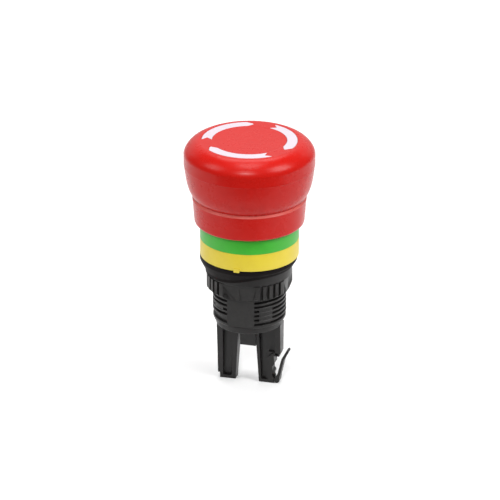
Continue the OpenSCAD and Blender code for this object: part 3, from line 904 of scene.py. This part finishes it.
def nut_outline():
    """The nut's (x, y) outline, counter-clockwise, starting in the middle of the +X flat."""
    points = []
    corner_start = math.degrees(math.acos(NUT_HALF / NUT_R))
    for turn in (0, 90, 180, 270):
        quadrant = [(NUT_HALF, 0.0), on_circle(NUT_R, corner_start)]
        for groove in GROOVE_ANGLES:
            c, s = math.cos(math.radians(groove)), math.sin(math.radians(groove))
            edge = math.sqrt(NUT_R ** 2 - (GROOVE_W / 2) ** 2)
            for r, side in ((edge, -1), (NUT_R - GROOVE_DEEP, -1), (NUT_R - GROOVE_DEEP, 1), (edge, 1)):
                offset = side * GROOVE_W / 2
                quadrant.append((r * c - offset * s, r * s + offset * c))
            if groove != GROOVE_ANGLES[-1]:
                quadrant.append(on_circle(NUT_R, groove + 5))
        quadrant.append(on_circle(NUT_R, 90 - corner_start))
        points += turn_outline(quadrant, turn)
    return points


def round_hole(name, radius, low, high):
    """A cutter for a round hole."""
    return plate(name, arc(radius, 0, 357.5, 143), low, high, "Z")


nut = plate("ribbed_ring_nut", nut_outline(), NUT_LOW, NUT_TOP, "Z")
cut(nut, round_hole("bore", THREAD_R + 0.08, NUT_LOW - 1, NUT_TOP + 1))
NOTCH_FROM, NOTCH_TO, NOTCH_DEEP, NOTCH_HIGH = -4.75, -3.8, 0.5, 1.5
notch = rectangle(NOTCH_FROM, NOTCH_TO, -NUT_HALF - 1, -NUT_HALF + NOTCH_DEEP)
for turn in (0, 90, 180, 270):
    cut(nut, plate("notch", turn_outline(notch, turn), NUT_LOW - 1, NUT_LOW + NOTCH_HIGH, "Z"))
CHAMFER_HIGH = NUT_LOW + 1.35
chamfer = turned("chamfer", [
    (NUT_HALF - 0.25, NUT_LOW - 0.1), (NUT_R + 3, NUT_LOW - 0.1), (NUT_R + 3, CHAMFER_HIGH),
    (NUT_R + 0.5, CHAMFER_HIGH)], 96)
cut(nut, chamfer)
soften(nut, 0.1, 2, 28)
fit_piece(nut, "nut", "black_plastic", "ring_nut")


# %% [markdown]
# ## The threaded barrel
# A real thread is a helix, and it shows: its ridges climb as they go round. The barrel's core
# is turned, and the thread is laid on it as separate ridges, because the real one is broken by
# two flats. Each ridge is a bar with sloping flanks that follows the helix between two angles.
# A solid slab makes the flats, so the grooves stop dead at their edges, and smooth pads fill
# some grooves where the mould halves part. All of it is joined into one closed mesh.

# %% Thread ridges
PITCH = 1.4
CORE_R = FLAT_Y - 0.01
CREST_W, FOOT_W = 0.62, 1.08
THREAD_START = 0.92
RIDGE_HALF_SPAN = 67.5
PAD_R = THREAD_R - 0.06
RIDGE_STEP = 3
THREAD_LOW, THREAD_TOP = BARREL_LOW + 1.0, -0.2


def crest_radius(angle):
    """The thread's outer radius, which is less where the flats are."""
    across = abs(math.sin(math.radians(angle)))
    return min(THREAD_R, FLAT_Y / max(across, 0.1))


def thread_ridge(form, start, stop, height):
    """One closed stretch of the helix between two angles, in degrees."""
    steps = max(3, round((stop - start) / RIDGE_STEP))
    rings = []
    for k in range(steps + 1):
        angle = start + (stop - start) * k / steps
        crest = max(crest_radius(angle), CORE_R + 0.02)
        rise = height + PITCH * angle / 360
        share = (crest - CORE_R) / (THREAD_R - CORE_R)
        tip = FOOT_W / 2 - (FOOT_W - CREST_W) / 2 * share
        flank = crest - 0.07 * share
        section = [
            (CORE_R - 0.3, -FOOT_W / 2), (CORE_R, -FOOT_W / 2), (flank, -tip - 0.03), (crest, -tip + 0.06),
            (crest, tip - 0.06), (flank, tip + 0.03), (CORE_R, FOOT_W / 2), (CORE_R - 0.3, FOOT_W / 2)]
        c, s = math.cos(math.radians(angle)), math.sin(math.radians(angle))
        rings.append([form.verts.new((r * c, r * s, rise + z)) for r, z in section])
    skin(form, rings, around=False)
    form.faces.new(rings[0])
    form.faces.new(rings[-1])


def thread():
    """Every ridge of the thread, between the two flats."""
    form = bmesh.new()
    count = 0
    for number in range(-1, math.ceil((THREAD_TOP - THREAD_LOW) / PITCH) + 1):
        for side in (0, 180):
            height = THREAD_LOW + (number + THREAD_START) * PITCH
            middle = height + PITCH * side / 360
            if THREAD_LOW + FOOT_W * 0.7 < middle < THREAD_TOP - FOOT_W * 0.6:
                thread_ridge(form, side - RIDGE_HALF_SPAN, side + RIDGE_HALF_SPAN, height)
                count += 1
    print(count, "ridges")
    return finish_mesh(form, "thread")


# %% [markdown]
# The core carries everything else: the plain ring at the lower end, the neck that the rings
# slide over and the rim under the cap.

# %% Turn the core and join the thread
BORE_R = 8.8
END_R = 10.9

barrel = turned("threaded_barrel", rounded([
    (BORE_R, BARREL_LOW, 0.2), (END_R, BARREL_LOW, 0.35), (END_R, THREAD_LOW, 0.15),
    (CORE_R, THREAD_LOW + 0.05, 0.1), (CORE_R, -0.1), (THREAD_R, 0), (THREAD_R, RING_TOP),
    (RIM_R, RING_TOP, 0.2), (RIM_R, RIM_TOP, 0.4), (BORE_R, RIM_TOP, 0.3)]))
combine(barrel, thread(), "UNION")


def wall_piece(name, start, stop, inner, outer, low, high):
    """A curved block between two angles, two radii and two heights."""
    steps = max(2, round((stop - start) / 4))
    return plate(name, arc(outer, start, stop, steps) + arc(inner, stop, start, steps), low, high, "Z")


SLAB_R = THREAD_R - 0.02
FLAT_EDGE = math.degrees(math.acos(FLAT_Y / SLAB_R))
WALL_INNER = FLAT_Y - 0.6
FLAT_TOP = -0.12
PADS = [(-59.5, -36.5, -15.4, -11.0), (-143.5, -120.9, -12.75, -11.05)]
for side in (0, 180):
    middle = side - 90
    flat_slab = wall_piece("flat_slab", middle - FLAT_EDGE, middle + FLAT_EDGE, WALL_INNER, SLAB_R,
                           THREAD_LOW, 0.1)
    combine(barrel, flat_slab, "UNION")
    for start, stop, low, high in PADS:
        combine(barrel, wall_piece("pad", side + start, side + stop, WALL_INNER, PAD_R, low, high), "UNION")
for near, far in ((-2 * FLAT_Y, -FLAT_Y), (FLAT_Y, 2 * FLAT_Y)):
    cut(barrel, block("flat", (-12, 12), (near, far), (BARREL_LOW - 1, FLAT_TOP)))
mark = wall_piece("gate_mark", -57.6, -55.9, FLAT_Y - 0.3, PAD_R + 0.04, -14.6, -12.3)
combine(barrel, mark, "UNION")
print("thread, flats and pads joined")


# %% [markdown]
# Two keyways run up the bore. The plunger's keys slide in them, so the button can't turn when
# the head is twisted. They are hidden, but without them the keys would cut into the wall.

# %% Cut the keyways and fit the barrel
KEY_REACH, KEYWAY_HALF, KEYWAY_TOP = 9.45, 1.2, 3.3
keyways = rectangle(-KEY_REACH, KEY_REACH, -KEYWAY_HALF, KEYWAY_HALF)
cut(barrel, plate("keyways", keyways, BARREL_LOW - 1, KEYWAY_TOP, "Z"))
shade(barrel)
fit_piece(barrel, "housing", "black_plastic", "barrel")


# %% [markdown]
# ## The contact fork
# The fork plugs into the barrel and carries the contact block between its legs. A flange, a
# hub and two flat legs are one moulding. The legs thin towards the tips, and their faces are
# sunk into channels so that the plastic has an even thickness. Each leg is a plate whose faces
# are leaned in first and then cut on both sides, because cutting keeps every rim straight.

# %% Helpers for the legs
LEG_DEEP_TOP, LEG_DEEP_TIP = 4.3, 2.8
FLANGE_LOW = BARREL_LOW - 2
CHANNEL_WEB, POCKET_WEB = 1.05, 0.4
CHANNEL_TOP = FLANGE_LOW - 0.9
POCKET_LOW = TIP_Z + 1
FOOT_TOP = POCKET_LOW + 2.5
LEG_INNER_TOP = 2.65


def lean_faces(piece):
    """Moves the front and back faces in towards the tips."""
    for vertex in piece.data.vertices:
        share = (vertex.co.z / MM - TIP_Z) / (FLANGE_LOW - TIP_Z)
        depth = LEG_DEEP_TIP + (LEG_DEEP_TOP - LEG_DEEP_TIP) * min(1, share)
        vertex.co.y *= depth / LEG_DEEP_TOP
    return piece


def recess(piece, web, outline):
    """Sinks an outline into both faces of a leg, down to a web of the given half thickness."""
    for side in (-1, 1):
        near, far = side * web, side * LEG_DEEP_TOP
        cut(piece, plate("recess", outline, min(near, far), max(near, far)))
    return piece


# %% [markdown]
# The left leg has a strip along its outer edge that stands back and ends higher up. Beside it
# runs a long channel with a deeper slot along one side and a deep pocket at the foot.

# %% The left leg
CHANNEL_X, STRIP_X = -7.8, 1.25 - LEG_HALF
left_leg = lean_faces(plate("left_leg", [
    (-LEG_HALF, FLANGE_LOW + 0.3), (0.4 - LEG_HALF, TIP_Z + 1.3), (STRIP_X, TIP_Z + 1.3),
    (STRIP_X, TIP_Z), (-4, TIP_Z), (-LEG_INNER_TOP - 0.1, FLANGE_LOW + 0.3)],
    -LEG_DEEP_TOP / 2, LEG_DEEP_TOP / 2))
recess(left_leg, 0.6, rectangle(-LEG_HALF - 1, STRIP_X, TIP_Z - 1, FLANGE_LOW))
recess(left_leg, CHANNEL_WEB, rounded([
    (CHANNEL_X, POCKET_LOW, 0.2), (-5.2, POCKET_LOW, 0.2), (-4.6, CHANNEL_TOP, 0.3),
    (CHANNEL_X, CHANNEL_TOP, 0.3)]))
recess(left_leg, POCKET_WEB, rounded([
    (CHANNEL_X - 0.03, POCKET_LOW, 0.2), (-5.2, POCKET_LOW, 0.2), (-5.2, FOOT_TOP, 0.2),
    (-6.9, FOOT_TOP, 0.2), (-6.6, CHANNEL_TOP, 0.2), (CHANNEL_X - 0.03, CHANNEL_TOP, 0.2)]))
print("left leg", len(left_leg.data.polygons), "faces")


# %% [markdown]
# The right leg is cut away on its outer side to leave room for the snap arm. Its long outer rim
# ends in a small block above a stepped waist, with a four-cornered pocket beside it, and the
# foot is hollow next to the seat of the arm's root.

# %% The right leg
ARM_X, ARM_Z = 8.75, TIP_Z + 0.95
ARM_ROOT_R = 0.85
FOOT_X, WAIST_X, SHELF_X, BLOCK_X, RIM_X = 8.0, 7.5, 6.1, 9.7, 8.4

right_leg = lean_faces(plate("right_leg", rounded([
    (LEG_INNER_TOP, FLANGE_LOW + 0.3), (LEG_INNER_TOP, PUSHER_LOW, 2), (3.3, TIP_Z, 0.1),
    (FOOT_X, TIP_Z, 0.2), (FOOT_X, TIP_Z + 3.7, 0.2), (WAIST_X, TIP_Z + 4.3, 0.3),
    (WAIST_X, TIP_Z + 5.5, 0.3), (FOOT_X + 0.2, TIP_Z + 6.6, 0.4), (FOOT_X, TIP_Z + 9.1, 0.1),
    (BLOCK_X, TIP_Z + 9.1, 0.3), (LEG_HALF, TIP_Z + 10.3, 0.1), (LEG_HALF, FLANGE_LOW + 0.3)]),
    -LEG_DEEP_TOP / 2, LEG_DEEP_TOP / 2))
recess(right_leg, CHANNEL_WEB, rounded([
    (3.4, CHANNEL_TOP, 0.2), (4.05, POCKET_LOW, 0.2), (SHELF_X, POCKET_LOW, 0.2),
    (SHELF_X, TIP_Z + 8.6), (RIM_X, TIP_Z + 10.4, 0.1), (RIM_X, CHANNEL_TOP, 0.2)]))
recess(right_leg, POCKET_WEB, rounded([
    (3.38, CHANNEL_TOP, 0.2), (4.03, POCKET_LOW, 0.2), (5.45, POCKET_LOW, 0.2), (5.45, FOOT_TOP, 0.2),
    (4.7, FOOT_TOP, 0.2), (4.35, CHANNEL_TOP, 0.2)]))
recess(right_leg, POCKET_WEB, rounded([
    (6.2, TIP_Z + 10.2, 0.15), (8.1, TIP_Z + 10.2, 0.15), (8.1, TIP_Z + 12.7, 0.2),
    (7.1, TIP_Z + 11.9, 0.3)]))
recess(right_leg, POCKET_WEB, rectangle(WAIST_X, FOOT_X + 1, TIP_Z + 1.9, TIP_Z + 3.2))
recess(right_leg, 0.9, rounded([
    (8.35, TIP_Z + 9.4, 0.1), (9.35, TIP_Z + 9.4, 0.1), (9.35, TIP_Z + 10.1, 0.1),
    (8.35, TIP_Z + 10.1, 0.1)]))
cut(right_leg, plate("arm_seat", arc(ARM_ROOT_R + 0.1, 0, 345, 23, (ARM_X, ARM_Z)), -5, 5))
print("right leg", len(right_leg.data.polygons), "faces")


# %% [markdown]
# The flange closes the barrel's end and the hub reaches up into it. The slot through both is
# the way of the pusher.

# %% Flange and hub, joined to the legs
DECK = BARREL_LOW - 0.05
HUB_R = BORE_R - 0.05
HUB_BORE_R, HUB_FLOOR = 4.8, BARREL_LOW + 0.9
SLOT_X, SLOT_Y = 2.75, 2.1

fork = turned("contact_fork", rounded([
    (0, FLANGE_LOW), (FLANGE_R, FLANGE_LOW, 0.35), (FLANGE_R, DECK, 0.25), (HUB_R, DECK),
    (HUB_R, HUB_TOP, 0.3), (HUB_BORE_R, HUB_TOP, 0.2), (HUB_BORE_R, HUB_FLOOR), (0, HUB_FLOOR)]))
combine(fork, left_leg, "UNION")
combine(fork, right_leg, "UNION")
cut(fork, block("pusher_slot", (-SLOT_X, SLOT_X), (-SLOT_Y, SLOT_Y), (FLANGE_LOW - 0.01, HUB_TOP + 1)))
soften(fork, 0.1, 2, 30)
fit_piece(fork, "housing", "black_plastic", "fork")


# %% [markdown]
# ## The snap arm
# The thin slanting arm bends inwards as the contact block slides on, and springs out behind
# its catch. It is a plate with a round tip that is bent outwards. Its root is a round bead in
# the leg's foot, where the bending happens.

# %% Make the arm
ARM_LEAN = math.radians(13.5)
ARM_BEND, ARM_TIP_X, ARM_TIP_Z, ARM_TIP_R = 7.4, 0.94, 10.15, 0.42


def arm_outline():
    """The arm upright on its root, then leaned outwards."""
    root = arc(ARM_ROOT_R, 175, 360, 14)
    tip = arc(ARM_TIP_R, -10, 190, 12, (ARM_TIP_X, ARM_TIP_Z))
    outer_side = [(0.68, 1.4), (0.62, ARM_BEND)]
    inner_side = [(-0.2, ARM_BEND), (-0.25, 2), (-ARM_ROOT_R + 0.08, 0.4)]
    upright = root + outer_side + tip + inner_side
    c, s = math.cos(ARM_LEAN), math.sin(ARM_LEAN)
    return [(ARM_X + x * c + z * s, ARM_Z - x * s + z * c) for x, z in upright]


arm = plate("snap_arm", arm_outline(), -LEG_DEEP_TIP / 2, LEG_DEEP_TIP / 2)
soften(arm, 0.1, 2, 40)
fit_piece(arm, "latch", "black_plastic", "latch_arm")


# %% [markdown]
# ## The pusher
# The dark blade between the legs is pinned to the plunger's tail, and it presses the contact
# block. A small bevel rounds its edges.

# %% Make the pusher
PUSHER_W = 5.0
pusher_outline = rectangle(-PUSHER_W / 2, PUSHER_W / 2, PUSHER_LOW, PUSHER_TOP)
pusher = plate("pusher_blade", pusher_outline, -PUSHER_HALF, PUSHER_HALF)
soften(pusher, 0.2, 3, 40)
fit_piece(pusher, "plunger", "black_plastic", "pusher")


# %% [markdown]
# ## The return spring
# A coil is a circle swept along a helix. Real springs for a flat seat are closed at both ends,
# so the first and last turns lie flat here and only the middle turns climb. The spring stands
# in the hub. The real one flattens towards it as the plunger comes down; this mesh keeps its shape.

# %% Wind the spring
SPRING_R, WIRE_R = 6.3, 0.42
SPRING_TURNS, WIND_STEPS, WIRE_SIDES = 6, 40, 10
SPRING_LOW, SPRING_TOP = reach("return_spring")[:2]


def climb(turn):
    """Share of the height reached after so many turns, with a flat turn at each end."""
    share = (turn - 0.8) / (SPRING_TURNS - 1.6)
    return max(0.0, min(1.0, share))


form = bmesh.new()
rings = []
for k in range(SPRING_TURNS * WIND_STEPS + 1):
    angle = 2 * math.pi * k / WIND_STEPS
    height = SPRING_LOW + WIRE_R + (SPRING_TOP - SPRING_LOW - 2 * WIRE_R) * climb(k / WIND_STEPS)
    ring = []
    for side in range(WIRE_SIDES):
        around = 2 * math.pi * side / WIRE_SIDES
        r = SPRING_R + WIRE_R * math.cos(around)
        z = height + WIRE_R * math.sin(around)
        ring.append(form.verts.new((r * math.cos(angle), r * math.sin(angle), z)))
    rings.append(ring)
skin(form, rings, around=False)
form.faces.new(rings[0])
form.faces.new(rings[-1])
spring = finish_mesh(form, "coiled_return_spring")
fit_piece(spring, "housing", "steel", "return_spring")
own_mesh(spring)


# %% [markdown]
# ## The parts inside
# The remaining pieces are out of sight: the stem, the core, the pawls, the seals and the
# fasteners. Their shapes in the model are already what they should be, so each keeps its mesh
# and only gets its finish.

# %% Dress the hidden parts
INSIDE = {
    "cap_core": "grey_plastic", "core_screw": "steel", "release_shaft": "grey_plastic",
    "torsion_spring": "steel", "plunger": "grey_plastic", "friction_washer": "ivory_plastic",
    "stem_clip": "steel", "pusher_pin": "steel", "pawl_left": "brass", "pawl_right": "brass",
    "pawl_springs": "steel", "stem_seal": "black_rubber", "guide_bush": "ivory_plastic",
    "latch_ring": "brass", "hub_seal": "black_rubber",
}
for node, finish in INSIDE.items():
    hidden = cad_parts[node]
    hidden.data.materials.clear()
    hidden.data.materials.append(FINISHES[finish])
print(len(INSIDE), "hidden parts dressed")
